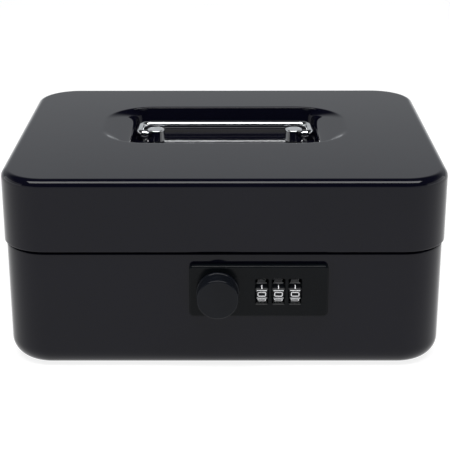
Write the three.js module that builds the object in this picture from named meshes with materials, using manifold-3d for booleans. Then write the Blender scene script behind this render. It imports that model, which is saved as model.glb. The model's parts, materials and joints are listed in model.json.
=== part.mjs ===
// Cash box with a combination lock: drawn steel body and lid, rear butt hinges, recessed
// bail handle, three-dial lock with a turning knob, and a lift-out coin tray.
// Millimetres. +X right, +Y back, +Z up; the box stands on z = 0 and its front faces -Y.
// The rest pose is the closed, unlatched box with the handle folded towards the back.
import * as THREE from 'three';
import { mergeVertices } from 'three/addons/utils/BufferGeometryUtils.js';
import Module from 'manifold-3d';

const wasm = await Module();
wasm.setup();

// ---------------------------------------------------------------- driving dimensions

const GAP = 0.3; // clearance between pieces that touch
const SHEET = 1; // steel sheet of the body and the lid

const LID = { halfX: 100, halfY: 80, cornerR: 21, bottom: 56.8, top: 90, edgeR: 4 };
const BODY = { overhang: 1, bottomR: 9, shoulder: 55.9, shoulderR: 0.8, rim: 61.5, flange: 3 };
const NECK_GAP = 1.4; // lets the lid's front skirt swing clear of the neck
const NECK_INSET = SHEET + NECK_GAP;

const RECESS = {
  y: 10, halfX: 60, halfY: 33, cornerR: 24,
  floor: 81.3, floorHalfX: 45, floorHalfY: 29.5, floorCornerR: 4,
  // [share of the way out to the rim, share of the way up] at the pocket's ends
  scoop: [[0, 0], [0.02, 0.25], [0.06, 0.5], [0.2, 0.66], [0.45, 0.8], [0.75, 0.93], [1, 1]],
};

const HINGE = { x: 62, length: 36, middle: 12, y: 82.3, z: 56.2, r: 2, pinR: 1, boreR: 1.1 };
const LEAF = { thickness: 1, lidTop: 74, bodyBottom: 38, jogBottom: 52.2, jogTop: 53.2, jogRise: 0.4 };
const RIVET = { spread: 11, lidZ: 67, bodyZ: 45, shankR: 1.4, holeR: 1.6, headR: 2.75, head: 1, sides: 10 };

const FRONT = -LID.halfY + BODY.overhang; // outer face of the body's front wall
const PLATE = { x: 15.3, z: 39, halfX: 30.9, halfZ: 12.25, thickness: 3, cornerR: 2, bevel: 0.5, skin: 1.3 };
const POCKET = { x0: 13, x1: 36.4, halfZ: 6.5 }; // behind the faceplate's windows
const PLATE_REAR = FRONT - GAP;
const PLATE_FRONT = PLATE_REAR - PLATE.thickness;
const CUTOUT = { x0: -8, x1: 39.2, halfZ: 9.5 };
const SCREW = { x: [-12.1, 42.7], dz: 6.6, shankR: 1.2, headR: 2.2, head: 1.5, bossR: 2.4 };

const DIAL = { x: 24.05, pitch: 7.4, y: -77.5, z: 38, r: 5.8, valley: 5.5, halfWidth: 2.35, digits: 10 };
const DIAL_NAMES = ['left', 'middle', 'right'];
const WINDOW = { halfX: 2.75, halfZ: 5.9 };
const SLEEVE = { r: 2.1, boreR: 1.25, discR: 3.1, discWidth: 1.8, spindleR: 1.05, gate: 0.9, gateHalf: 1.3 };
const CHEEK = { x: [11.6, 36.4], width: 2, halfZ: 3 };
const CASE = {
  x0: -8, x1: 39.6, z0: 30.4, z1: 47.2, rear: -63.6,
  flange: 2, flangeX0: -16, flangeX1: 46.6, flangeHalfZ: 11.5, pocketRear: -66.5, pocketHalfZ: 6.5,
};
const FENCE = { x0: 1.3, x1: 35.9, depth: 2.2, halfZ: 1.1, toothHalf: 0.6, toothGap: 0.4 };
const FENCE_SLOT = { front: -73.7, halfZ: 1.6 };
const SPRING = { x0: 14, x1: 36, thickness: 0.4, gap: 0.2, fingerHalf: 1.6, fingerDrop: 1.8 };
const RESET_SLOT = { x0: 20.7, x1: 28.3, z0: 42.7, z1: 44.3 };
const RESET = {
  slider: { x: [19, 27], z: [41.2, 45.8], thickness: 1.5 },
  stem: { x: [21.2, 23.6], z: [43, 44] },
  grip: { x: [22, 24], z: [41.6, 45.4], height: 2 },
};

const KNOB = { x: -2.9, r: 9.2, collarR: 9.6, collar: 1.8, length: 9.5, edge: 0.6, socket: 5.2 };
const SHAFT = { r: 3.3, boreR: 3.7, square: 2.3, end: -59.2 };
const HOOK = { front: -61.6, rear: -59.6, hubR: 6.5, inner: 12, outer: 14.5, arm: [-60, -30], tip: 25 };
const HOOK_WASHER = { r: 4.2, holeR: 1.5, thickness: 0.8 };
const HOOK_SCREW = { length: 6, shankR: 1.2, holeR: 1.35, headR: 2.6, edgeR: 1.9, edge: 1.2, head: 1.7 };
const KEEPER = {
  thickness: 2, bottom: 48.2, front: -63.2, rear: -57.8, bridge: 64.5,
  slot: { front: -62.1, rear: -59.1, bottom: 50.4, top: 54.1 },
  flange: { halfX: 11, thickness: 1.5, top: 80 },
  brace: [[-57.8, 68], [-66, 74]], // sloped rear edge up to the flange
  braceTop: 78,
};

const BAIL = {
  y: RECESS.y, z: 84.9, r: 1.9, pinR: 1.4, holeR: 1.7, halfX: 42.6, reach: 16.4,
  eyeBend: 2.8, gripBend: 4.5,
};
const POST = { x: 34.3, r: 4.2, top: 87.5, bevel: 0.35, stemR: 2, holeR: 2.3, stemEnd: 75.2 };
const WASHER = { r: 4.5, thickness: 0.8 };
const NUT = { r: 4, height: 2.9 };

const TRAY = {
  web: 1.2, wall: 1.2, depth: 25, inset: 2.6, cornerR: 18,
  notch: { halfX: 13, rear: -56 }, // lets the lid's keeper pass
};
const CUP_TAPER = [[5, 0], [2.4, 1.4], [1.2, 5]]; // [inset, height] from a cup's floor up
const CUP_ROWS = [
  { count: 4, halfX: 21.6, pitch: 46.4, y: -23.5, halfY: 31, cornerR: 8 },
  { count: 1, halfX: 91.2, pitch: 0, y: 41.5, halfY: 31, cornerR: 13 },
];

// ---------------------------------------------------------------- materials

function material(color, roughness, metalness) {
  return new THREE.MeshStandardMaterial({ color, roughness, metalness });
}

const glossBlack = material(0x222228, 0.12, 0.1);
const blackPlastic = material(0x131519, 0.3, 0);
const dialPlastic = material(0x16181c, 0.35, 0);
const trayPlastic = material(0x1d1e20, 0.55, 0);
const housingPlastic = material(0x2a2b2e, 0.6, 0);
const chrome = material(0xd9dadc, 0.08, 1);
const zincSteel = material(0x9fa3a6, 0.35, 1);
const springSteel = material(0x7c8084, 0.3, 1);
const brass = material(0xb8995a, 0.3, 1);

// ---------------------------------------------------------------- solids

function solid(geometry) {
  const bare = geometry.index ? geometry.toNonIndexed() : geometry.clone();
  bare.deleteAttribute('normal');
  bare.deleteAttribute('uv');
  const merged = mergeVertices(bare, 1e-5);
  const mesh = new wasm.Mesh({
    numProp: 3,
    vertProperties: new Float32Array(merged.attributes.position.array),
    triVerts: new Uint32Array(merged.index.array),
  });
  mesh.merge();
  return new wasm.Manifold(mesh);
}

function geometryOf(manifold) {
  const mesh = manifold.getMesh();
  const geometry = new THREE.BufferGeometry();
  geometry.setAttribute('position', new THREE.BufferAttribute(mesh.vertProperties, 3));
  geometry.setIndex(new THREE.BufferAttribute(mesh.triVerts, 1));
  geometry.computeVertexNormals();
  return geometry;
}

function joined(solids) {
  return solids.reduce((sum, next) => sum.add(next));
}

function cut(base, tools) {
  return tools.reduce((rest, tool) => rest.subtract(tool), base);
}

function block(x0, x1, y0, y1, z0, z1) {
  const box = new THREE.BoxGeometry(x1 - x0, y1 - y0, z1 - z0);
  return solid(box.translate((x0 + x1) / 2, (y0 + y1) / 2, (z0 + z1) / 2));
}

function rodX(x0, x1, y, z, r, sides = 16) {
  const rod = new THREE.CylinderGeometry(r, r, x1 - x0, sides);
  return solid(rod.rotateZ(Math.PI / 2).translate((x0 + x1) / 2, y, z));
}

function rodY(x, y0, y1, z, r, sides = 16) {
  return solid(new THREE.CylinderGeometry(r, r, y1 - y0, sides).translate(x, (y0 + y1) / 2, z));
}

function rodZ(x, y, z0, z1, r, sides = 16) {
  const rod = new THREE.CylinderGeometry(r, r, z1 - z0, sides);
  return solid(rod.rotateX(Math.PI / 2).translate(x, y, (z0 + z1) / 2));
}

// A lathe profile of [radius, distance] pairs turned about +Y.
function turned(profile, sides) {
  const points = profile.map(([r, along]) => new THREE.Vector2(r, along));
  return new THREE.LatheGeometry(points, sides);
}

// A shape drawn in X and Z and pushed along Y.
function slabXZ(shape, y0, y1, curveSegments = 10) {
  const slab = new THREE.ExtrudeGeometry(shape, { depth: y1 - y0, bevelEnabled: false, curveSegments });
  return solid(slab.rotateX(Math.PI / 2).translate(0, y1, 0));
}

// A shape drawn in Y and Z and pushed along X.
function slabYZ(shape, x0, x1) {
  const slab = new THREE.ExtrudeGeometry(shape, { depth: x1 - x0, bevelEnabled: false });
  return solid(slab.rotateX(Math.PI / 2).rotateZ(Math.PI / 2).translate(x0, 0, 0));
}

function polygon(points) {
  return new THREE.Shape(points.map(([u, v]) => new THREE.Vector2(u, v)));
}

// ---------------------------------------------------------------- lofts of rounded rectangles

function roundedRing({ x = 0, y = 0, halfX, halfY, r, z }, steps) {
  const points = [];
  for (let corner = 0; corner < 4; corner += 1) {
    const signX = corner === 0 || corner === 3 ? 1 : -1;
    const signY = corner < 2 ? 1 : -1;
    for (let step = 0; step <= steps; step += 1) {
      const angle = (corner + step / steps) * (Math.PI / 2);
      const px = x + signX * (halfX - r) + r * Math.cos(angle);
      const py = y + signY * (halfY - r) + r * Math.sin(angle);
      points.push(new THREE.Vector3(px, py, z));
    }
  }
  return points;
}

// Rings listed from the bottom upwards, with a flat fan at each end.
function loft(rings, steps = 6) {
  const loops = rings.map((ring) => roundedRing(ring, steps));
  const count = loops[0].length;
  const vertices = loops.flat();
  const triangles = [];
  for (let level = 0; level + 1 < loops.length; level += 1) {
    for (let i = 0; i < count; i += 1) {
      const a = level * count + i;
      const b = level * count + ((i + 1) % count);
      triangles.push(a, b, b + count, a, b + count, a + count);
    }
  }
  const last = (loops.length - 1) * count;
  for (let i = 1; i + 1 < count; i += 1) {
    triangles.push(0, i + 1, i);
    triangles.push(last, last + i, last + i + 1);
  }
  const geometry = new THREE.BufferGeometry().setFromPoints(vertices);
  geometry.setIndex(triangles);
  return solid(geometry);
}

// A ring of the box's outline, set in by a distance from the lid's outer face.
function boxRing(inset, z) {
  return { halfX: LID.halfX - inset, halfY: LID.halfY - inset, r: LID.cornerR - inset, z };
}

// Rings around a quarter-round edge, from one angle to another in degrees.
function edgeRings(insetCentre, zCentre, r, from, to, steps = 4) {
  const rings = [];
  for (let step = 0; step <= steps; step += 1) {
    const angle = THREE.MathUtils.degToRad(from + ((to - from) * step) / steps);
    rings.push(boxRing(insetCentre - r * Math.cos(angle), zCentre + r * Math.sin(angle)));
  }
  return rings;
}

// ---------------------------------------------------------------- body

function lockHoles() {
  const y0 = FRONT - SHEET;
  const y1 = FRONT + 2 * SHEET;
  const opening = block(CUTOUT.x0, CUTOUT.x1, y0, y1, PLATE.z - CUTOUT.halfZ, PLATE.z + CUTOUT.halfZ);
  const bosses = screwPlaces().map(([x, z]) => rodY(x, y0, y1, z, SCREW.bossR + GAP));
  return [opening, ...bosses];
}

function bodyShell() {
  const outerInset = BODY.overhang;
  const innerInset = outerInset + SHEET;
  const neckInner = NECK_INSET + SHEET;
  const roundCentre = outerInset + BODY.bottomR;
  const outer = loft([
    ...edgeRings(roundCentre, BODY.bottomR, BODY.bottomR, -90, 0, 5),
    ...edgeRings(outerInset + BODY.shoulderR, BODY.shoulder - BODY.shoulderR, BODY.shoulderR, 0, 90, 3),
    boxRing(NECK_INSET, BODY.shoulder),
    ...edgeRings(NECK_INSET + SHEET, BODY.rim - SHEET, SHEET, 0, 90, 2),
  ]);
  const inner = loft([
    ...edgeRings(roundCentre, BODY.bottomR, BODY.bottomR - SHEET, -90, 0, 5),
    boxRing(innerInset, BODY.shoulder - SHEET),
    boxRing(neckInner, BODY.shoulder - SHEET),
    boxRing(neckInner, BODY.rim - SHEET),
    boxRing(neckInner + BODY.flange, BODY.rim - SHEET),
    boxRing(neckInner + BODY.flange, BODY.rim + SHEET),
  ]);
  const wall = LID.halfY - BODY.overhang;
  const rivetHoles = rivetPlaces().map((x) => rodY(x, wall - 2, wall + 1, RIVET.bodyZ, RIVET.holeR, 12));
  return cut(outer, [inner, ...lockHoles(), ...rivetHoles]);
}

// ---------------------------------------------------------------- lid

// The handle's pocket, from its floor up to the lid's top, grown by a wall thickness. Its two
// ends drop steeply from shallow scoops.
function recessRings(wall) {
  const depth = LID.top - RECESS.floor;
  const rings = RECESS.scoop.map(([share, height]) => ({
    y: RECESS.y,
    halfX: THREE.MathUtils.lerp(RECESS.floorHalfX, RECESS.halfX, share) + wall,
    halfY: THREE.MathUtils.lerp(RECESS.floorHalfY, RECESS.halfY, height) + wall,
    r: THREE.MathUtils.lerp(RECESS.floorCornerR, RECESS.cornerR, share) + wall,
    z: RECESS.floor - wall + depth * height,
  }));
  const rimOverlap = 0.5;
  return [...rings, { ...rings[rings.length - 1], z: LID.top - wall + rimOverlap }];
}

function lidShell() {
  const outer = loft([
    boxRing(0, LID.bottom),
    ...edgeRings(LID.edgeR, LID.top - LID.edgeR, LID.edgeR, 0, 90),
  ]);
  const inner = loft([
    boxRing(SHEET, LID.bottom - SHEET),
    ...edgeRings(LID.edgeR, LID.top - LID.edgeR, LID.edgeR - SHEET, 0, 90),
  ]);
  const skin = outer.subtract(inner).add(loft(recessRings(SHEET)));
  const postHoles = [-1, 1].map((side) =>
    rodZ(side * POST.x, BAIL.y, RECESS.floor - 2 * SHEET, RECESS.floor + SHEET, POST.holeR));
  const rivetHoles = rivetPlaces().map((x) =>
    rodY(x, LID.halfY - 2, LID.halfY + 1, RIVET.lidZ, RIVET.holeR, 12));
  return cut(skin, [loft(recessRings(0)), ...postHoles, ...rivetHoles]);
}

// The strike that the lock's hook catches: a flange on the lid's front wall, a bridge over
// the body's rim, and a leg with a slot.
function lidKeeper() {
  const { thickness, bottom, front, rear, bridge, slot, flange, brace, braceTop } = KEEPER;
  const x0 = KNOB.x - thickness / 2;
  const x1 = KNOB.x + thickness / 2;
  const wall = -LID.halfY + SHEET + GAP;
  const plate = block(KNOB.x - flange.halfX, KNOB.x + flange.halfX, wall, wall + flange.thickness,
    bridge, flange.top);
  const web = polygon([
    [wall + 1, bridge], [front, bridge], [front, bottom], [rear, bottom], ...brace, [wall + 1, braceTop],
  ]);
  const hole = block(x0 - 1, x1 + 1, slot.front, slot.rear, slot.bottom, slot.top);
  return slabYZ(web, x0, x1).add(plate).subtract(hole);
}

// ---------------------------------------------------------------- hinges

function rivetPlaces() {
  return [-1, 1].flatMap((side) => [-1, 1].map((step) => side * HINGE.x + step * RIVET.spread));
}

function hingeBodyLeaf(x) {
  const wall = LID.halfY - BODY.overhang + GAP;
  const step = HINGE.y - HINGE.r;
  const t = LEAF.thickness;
  const { bodyBottom, jogBottom, jogTop, jogRise } = LEAF;
  const outline = polygon([
    [wall, bodyBottom], [wall + t, bodyBottom], [wall + t, jogBottom], [step + t, jogTop],
    [step + t, HINGE.z], [step, HINGE.z], [step, jogTop + jogRise], [wall, jogBottom + jogRise],
  ]);
  const x0 = x - HINGE.length / 2;
  const x1 = x + HINGE.length / 2;
  const leaf = slabYZ(outline, x0, x1).add(rodX(x0, x1, HINGE.y, HINGE.z, HINGE.r));
  const half = HINGE.middle / 2 + GAP;
  const middle = block(x - half, x + half, step - 1, HINGE.y + 3, HINGE.z - HINGE.r - GAP, HINGE.z + 3);
  const holes = [-1, 1].map((side) =>
    rodY(x + side * RIVET.spread, wall - 1, wall + 3, RIVET.bodyZ, RIVET.holeR, 12));
  return cut(leaf, [middle, rodX(x0 - 1, x1 + 1, HINGE.y, HINGE.z, HINGE.boreR), ...holes]);
}

function hingeLidLeaf(x) {
  const y0 = LID.halfY + GAP;
  const y1 = y0 + LEAF.thickness;
  const half = HINGE.middle / 2;
  const clear = HINGE.z + HINGE.r + GAP;
  const leaf = joined([
    block(x - HINGE.length / 2, x + HINGE.length / 2, y0, y1, clear, LEAF.lidTop),
    block(x - half, x + half, y0, y1, HINGE.z, clear + 1),
    rodX(x - half, x + half, HINGE.y, HINGE.z, HINGE.r),
  ]);
  const holes = [-1, 1].map((side) =>
    rodY(x + side * RIVET.spread, y0 - 1, y1 + 1, RIVET.lidZ, RIVET.holeR, 12));
  return cut(leaf, [rodX(x - half - 1, x + half + 1, HINGE.y, HINGE.z, HINGE.boreR), ...holes]);
}

function hingePin(x) {
  const reach = HINGE.length / 2 + 0.4;
  return rodX(x - reach, x + reach, HINGE.y, HINGE.z, HINGE.pinR);
}

// A rivet through the sheet whose outer face is at wallY and the leaf lying on it.
function rivet(x, wallY, z) {
  const inner = wallY - SHEET - GAP;
  const outer = wallY + GAP + LEAF.thickness + GAP;
  const { shankR, headR, head, sides } = RIVET;
  const profile = [
    [0, inner - head], [headR * 0.6, inner - head], [headR, inner - head * 0.4], [headR, inner],
    [shankR, inner], [shankR, outer], [headR, outer], [headR, outer + head * 0.4],
    [headR * 0.6, outer + head], [0, outer + head],
  ];
  return turned(profile, sides).translate(x, 0, z);
}

// ---------------------------------------------------------------- lock

function screwPlaces() {
  return SCREW.x.flatMap((x) => [-1, 1].map((side) => [x, PLATE.z + side * SCREW.dz]));
}

function dialX(index) {
  return DIAL.x + (index - 1) * DIAL.pitch;
}

function lockFaceplate() {
  const { x, z, halfX, halfZ, cornerR, bevel } = PLATE;
  const rings = [
    { x, y: z, halfX, halfY: halfZ, r: cornerR, z: -PLATE_REAR },
    { x, y: z, halfX, halfY: halfZ, r: cornerR, z: -PLATE_FRONT - bevel },
    { x, y: z, halfX: halfX - bevel, halfY: halfZ - bevel, r: cornerR - bevel, z: -PLATE_FRONT },
  ];
  const blank = loft(rings, 4).rotate([90, 0, 0]);
  const bossEnd = FRONT + SHEET;
  const bosses = screwPlaces().map(([sx, sz]) => rodY(sx, PLATE_REAR - 1, bossEnd, sz, SCREW.bossR));
  const blindEnd = PLATE_FRONT + 0.8;
  const blinds = screwPlaces().map(([sx, sz]) =>
    rodY(sx, blindEnd, bossEnd + 1, sz, SCREW.shankR + 0.15, 12));
  const windows = DIAL_NAMES.map((name, index) =>
    block(dialX(index) - WINDOW.halfX, dialX(index) + WINDOW.halfX, PLATE_FRONT - 1, PLATE_REAR + 1,
      z - WINDOW.halfZ, z + WINDOW.halfZ));
  const skinRear = PLATE_FRONT + PLATE.skin;
  const pocket = block(POCKET.x0, POCKET.x1, skinRear, PLATE_REAR + 1,
    DIAL.z - POCKET.halfZ, DIAL.z + POCKET.halfZ);
  const shaftHole = rodY(KNOB.x, PLATE_FRONT - 1, PLATE_REAR + 1, z, SHAFT.boreR);
  return cut(joined([blank, ...bosses]), [...blinds, ...windows, pocket, shaftHole]);
}

function lockCase() {
  const { x0, x1, z0, z1, rear, flange, flangeX0, flangeX1, flangeHalfZ, pocketRear, pocketHalfZ } = CASE;
  const flangeFront = FRONT + SHEET + GAP;
  const flangeRear = flangeFront + flange;
  const cheeks = CHEEK.x.map((x) =>
    block(x, x + CHEEK.width, FRONT, flangeRear, DIAL.z - CHEEK.halfZ, DIAL.z + CHEEK.halfZ));
  const blank = joined([
    block(flangeX0, flangeX1, flangeFront, flangeRear, PLATE.z - flangeHalfZ, PLATE.z + flangeHalfZ),
    block(x0, x1, flangeFront + GAP, rear, z0, z1),
    ...cheeks,
  ]);
  const pocketLeft = CHEEK.x[0] + CHEEK.width;
  const spindleEnd = CHEEK.x[1] + CHEEK.width + 1;
  const spindle = SLEEVE.boreR;
  const fence = FENCE_SLOT;
  return cut(blank, [
    block(pocketLeft, CHEEK.x[1], FRONT - 1, pocketRear, DIAL.z - pocketHalfZ, DIAL.z + pocketHalfZ),
    block(KNOB.x, CHEEK.x[1], fence.front, pocketRear, DIAL.z - fence.halfZ, DIAL.z + fence.halfZ),
    rodY(KNOB.x, flangeFront - 1, rear + 1, PLATE.z, SHAFT.boreR),
    rodX(CHEEK.x[0] - 1, spindleEnd, DIAL.y, DIAL.z, spindle),
    block(CHEEK.x[0] - 1, spindleEnd, FRONT - 1, DIAL.y, DIAL.z - spindle, DIAL.z + spindle),
    block(RESET_SLOT.x0, RESET_SLOT.x1, pocketRear - 1, rear + 1, RESET_SLOT.z0, RESET_SLOT.z1),
    ...screwPlaces().map(([x, z]) => rodY(x, flangeFront - 1, flangeRear + 1, z, SCREW.shankR + GAP, 12)),
  ]);
}

function lockScrew(x, z) {
  const seat = FRONT + SHEET + GAP + CASE.flange + GAP;
  const tip = PLATE_FRONT + 1.1;
  const { shankR, headR, head } = SCREW;
  const profile = [
    [0, tip], [shankR, tip], [shankR, seat], [headR, seat], [headR, seat + head * 0.7],
    [headR * 0.7, seat + head], [0, seat + head],
  ];
  return turned(profile, 12).translate(x, 0, z);
}

// A wheel with ten flat digit faces and a raised rib between each two of them.
function dialWheel(index) {
  const points = [];
  const faceAngle = 360 / DIAL.digits;
  for (let digit = 0; digit < DIAL.digits; digit += 1) {
    const rib = (digit + 0.5) * faceAngle;
    [[-5, DIAL.valley], [-2.5, DIAL.r], [2.5, DIAL.r], [5, DIAL.valley]].forEach(([turn, r]) => {
      const angle = THREE.MathUtils.degToRad(rib + turn);
      points.push([r * Math.cos(angle), r * Math.sin(angle)]);
    });
  }
  const x = dialX(index);
  const wheel = slabYZ(polygon(points), x - DIAL.halfWidth, x + DIAL.halfWidth);
  const bore = rodX(x - 5, x + 5, DIAL.y, DIAL.z, SLEEVE.r + GAP);
  return wheel.translate([0, DIAL.y, DIAL.z]).subtract(bore);
}

// The sleeve that rides in a dial, with the gated disc that the fence reads.
function tumbler(index) {
  const start = dialX(index) - DIAL.halfWidth - 0.2;
  const discStart = dialX(index) + DIAL.halfWidth + GAP;
  const end = discStart + SLEEVE.discWidth;
  const { r, boreR, discR, gate, gateHalf } = SLEEVE;
  const body = rodX(start, end, DIAL.y, DIAL.z, r).add(rodX(discStart, end, DIAL.y, DIAL.z, discR));
  const gateBlock = block(discStart - 0.1, end + 1, DIAL.y + discR - gate, DIAL.y + discR + 1,
    DIAL.z - gateHalf, DIAL.z + gateHalf);
  return cut(body, [rodX(start - 1, end + 1, DIAL.y, DIAL.z, boreR), gateBlock]);
}

function dialSpindle() {
  return rodX(CHEEK.x[0] + GAP, CHEEK.x[1] + CHEEK.width - GAP, DIAL.y, DIAL.z, SLEEVE.spindleR);
}

function fencePlate() {
  const { x0, x1, depth, halfZ, toothHalf, toothGap } = FENCE;
  const front = DIAL.y + DIAL.r + GAP;
  const tips = DIAL.y + SLEEVE.discR + toothGap;
  const bar = block(x0, x1, front, front + depth, DIAL.z - halfZ, DIAL.z + halfZ);
  const teeth = DIAL_NAMES.map((name, index) => {
    const middle = dialX(index) + DIAL.halfWidth + GAP + SLEEVE.discWidth / 2;
    return block(middle - toothHalf, middle + toothHalf, tips, front + 1, DIAL.z - 1, DIAL.z + 1);
  });
  return joined([bar, ...teeth]);
}

function detentSpring() {
  const { x0, x1, thickness, gap, fingerHalf, fingerDrop } = SPRING;
  const front = DIAL.y + DIAL.r + gap;
  const bottom = DIAL.z - CASE.pocketHalfZ + GAP;
  const base = block(x0, x1, front, CASE.pocketRear - GAP, bottom, bottom + thickness);
  const fingers = DIAL_NAMES.map((name, index) =>
    block(dialX(index) - fingerHalf, dialX(index) + fingerHalf, front, front + thickness,
      bottom, DIAL.z - fingerDrop));
  return joined([base, ...fingers]);
}

function resetLever() {
  const { slider, stem, grip } = RESET;
  const front = CASE.rear + GAP;
  const rear = front + slider.thickness;
  return joined([
    block(...slider.x, front, rear, ...slider.z),
    block(...stem.x, CASE.pocketRear - GAP, front + GAP, ...stem.z),
    block(...grip.x, rear - GAP, rear + grip.height, ...grip.z),
  ]);
}

function knob() {
  const rear = -PLATE_FRONT + GAP;
  const face = rear - GAP + KNOB.length;
  const socketEnd = rear + KNOB.socket;
  const socketR = SHAFT.r + GAP;
  const profile = [
    [0, socketEnd], [socketR, socketEnd], [socketR, rear], [KNOB.collarR, rear],
    [KNOB.collarR, rear + KNOB.collar], [KNOB.r + 0.1, rear + KNOB.collar + 0.4],
    [KNOB.r, face - KNOB.edge], [KNOB.r - KNOB.edge * 0.3, face - KNOB.edge * 0.3],
    [KNOB.r - KNOB.edge, face], [0, face],
  ];
  return turned(profile, 32).rotateX(Math.PI).translate(KNOB.x, 0, PLATE.z);
}

function knobSpindle() {
  const start = PLATE_FRONT - KNOB.socket;
  const roundEnd = HOOK.front - GAP;
  const half = SHAFT.square;
  const bar = joined([
    rodY(KNOB.x, start, roundEnd, PLATE.z, SHAFT.r),
    block(KNOB.x - half, KNOB.x + half, roundEnd - 1, SHAFT.end, PLATE.z - half, PLATE.z + half),
  ]);
  const threadEnd = SHAFT.end - HOOK_SCREW.length - 1;
  return bar.subtract(rodY(KNOB.x, threadEnd, SHAFT.end + 1, PLATE.z, HOOK_SCREW.holeR, 12));
}

// The hook at the spindle's rear end: a hub, an arm and an arc finger about the knob's axis.
function latchHook() {
  const radians = THREE.MathUtils.degToRad;
  const [armStart, armEnd] = HOOK.arm.map(radians);
  const tip = radians(HOOK.tip);
  const shape = new THREE.Shape();
  shape.moveTo(0, 0);
  shape.lineTo(HOOK.outer * Math.cos(armStart), HOOK.outer * Math.sin(armStart));
  shape.absarc(0, 0, HOOK.outer, armStart, tip, false);
  shape.lineTo(HOOK.inner * Math.cos(tip), HOOK.inner * Math.sin(tip));
  shape.absarc(0, 0, HOOK.inner, tip, armEnd, true);
  shape.lineTo(0, 0);
  const half = SHAFT.square + GAP;
  const blade = slabXZ(shape, HOOK.front, HOOK.rear);
  const hub = rodY(0, HOOK.front, HOOK.rear, 0, HOOK.hubR, 24);
  const square = block(-half, half, HOOK.front - 1, HOOK.rear + 1, -half, half);
  return blade.add(hub).subtract(square).translate([KNOB.x, 0, PLATE.z]);
}

function hookWasher() {
  const front = SHAFT.end + GAP;
  const ring = rodY(KNOB.x, front, front + HOOK_WASHER.thickness, PLATE.z, HOOK_WASHER.r);
  return ring.subtract(rodY(KNOB.x, front - 1, front + 2, PLATE.z, HOOK_WASHER.holeR, 12));
}

function hookScrew() {
  const { length, shankR, headR, edgeR, edge, head } = HOOK_SCREW;
  const seat = SHAFT.end + 2 * GAP + HOOK_WASHER.thickness;
  const tip = SHAFT.end - length;
  const profile = [
    [0, tip], [shankR, tip], [shankR, seat], [headR, seat], [headR, seat + edge], [edgeR, seat + head],
    [0, seat + head],
  ];
  return turned(profile, 14).translate(KNOB.x, 0, PLATE.z);
}

// ---------------------------------------------------------------- handle

function handlePost(x) {
  const foot = RECESS.floor + GAP;
  const { bevel } = POST;
  const profile = [
    [0, POST.stemEnd], [POST.stemR, POST.stemEnd], [POST.stemR, foot], [POST.r, foot],
    [POST.r, POST.top - bevel], [POST.r - bevel, POST.top], [0, POST.top],
  ];
  const post = solid(turned(profile, 20).rotateX(Math.PI / 2).translate(x, BAIL.y, 0));
  return post.subtract(rodX(x - 6, x + 6, BAIL.y, BAIL.z, BAIL.holeR));
}

function handleWasher(x) {
  const top = RECESS.floor - SHEET - GAP;
  const ring = rodZ(x, BAIL.y, top - WASHER.thickness, top, WASHER.r, 20);
  return ring.subtract(rodZ(x, BAIL.y, top - 3, top + 1, POST.holeR));
}

function handleNut(x) {
  const top = RECESS.floor - SHEET - 2 * GAP - WASHER.thickness;
  const nut = rodZ(x, BAIL.y, top - NUT.height, top, NUT.r, 6);
  return nut.subtract(rodZ(x, BAIL.y, top - 5, top + 1, POST.stemR + 0.15));
}

// Half of the wire's centre line, from beside a post to the middle of the grip.
function bailPath() {
  const at = (x, y) => new THREE.Vector3(x, BAIL.y + y, BAIL.z);
  const start = POST.x + POST.r + 0.5;
  const { halfX, reach, eyeBend: bend, gripBend } = BAIL;
  const path = new THREE.CurvePath();
  path.add(new THREE.LineCurve3(at(-start, 0), at(-halfX + bend, 0)));
  path.add(new THREE.QuadraticBezierCurve3(at(-halfX + bend, 0), at(-halfX, 0), at(-halfX, bend)));
  path.add(new THREE.LineCurve3(at(-halfX, bend), at(-halfX, reach - gripBend)));
  path.add(new THREE.QuadraticBezierCurve3(
    at(-halfX, reach - gripBend), at(-halfX, reach), at(-halfX + gripBend, reach)));
  path.add(new THREE.LineCurve3(at(-halfX + gripBend, reach), at(0, reach)));
  return path;
}

function handleBail() {
  const round = new THREE.Shape().absarc(0, 0, BAIL.r, 0, 2 * Math.PI, false);
  const half = solid(new THREE.ExtrudeGeometry(round, {
    extrudePath: bailPath(), steps: 28, bevelEnabled: false, curveSegments: 5,
  }));
  const inside = POST.x - POST.r + 0.8;
  const outside = POST.x + POST.r + 1;
  const pin = rodX(-outside, -inside, BAIL.y, BAIL.z, BAIL.pinR, 14);
  const left = half.add(pin);
  return left.add(left.mirror([1, 0, 0]));
}

// ---------------------------------------------------------------- coin tray

function cups() {
  return CUP_ROWS.flatMap(({ count, pitch, ...cup }) =>
    Array.from({ length: count }, (_, i) => ({ ...cup, x: (i - (count - 1) / 2) * pitch })));
}

// A cup's rings from its rounded bottom to its mouth, shrunk by a wall thickness.
function cupSolid({ x, y, halfX, halfY, cornerR }, shrink, bottom, mouth) {
  const levels = [...CUP_TAPER, [0, mouth - bottom]];
  return loft(levels.map(([taper, rise]) => {
    const inset = taper + shrink;
    return { x, y, halfX: halfX - inset, halfY: halfY - inset, r: cornerR - inset / 2, z: bottom + rise };
  }), 4);
}

function coinTray() {
  const bottom = BODY.rim + GAP;
  const top = bottom + TRAY.web;
  const { inset, notch } = TRAY;
  const web = loft([
    { halfX: LID.halfX - inset, halfY: LID.halfY - inset, r: TRAY.cornerR, z: bottom },
    { halfX: LID.halfX - inset, halfY: LID.halfY - inset, r: TRAY.cornerR, z: top },
  ]);
  const floor = top - TRAY.depth;
  const outer = cups().map((cup) => cupSolid(cup, 0, floor, bottom + TRAY.web / 2));
  const inner = cups().map((cup) => cupSolid(cup, TRAY.wall, floor + TRAY.wall, top + 1));
  const opening = block(KNOB.x - notch.halfX, KNOB.x + notch.halfX, -LID.halfY, notch.rear,
    bottom - 1, top + 1);
  return cut(joined([web, ...outer]), [...inner, opening]);
}

// ---------------------------------------------------------------- assembly

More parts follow.
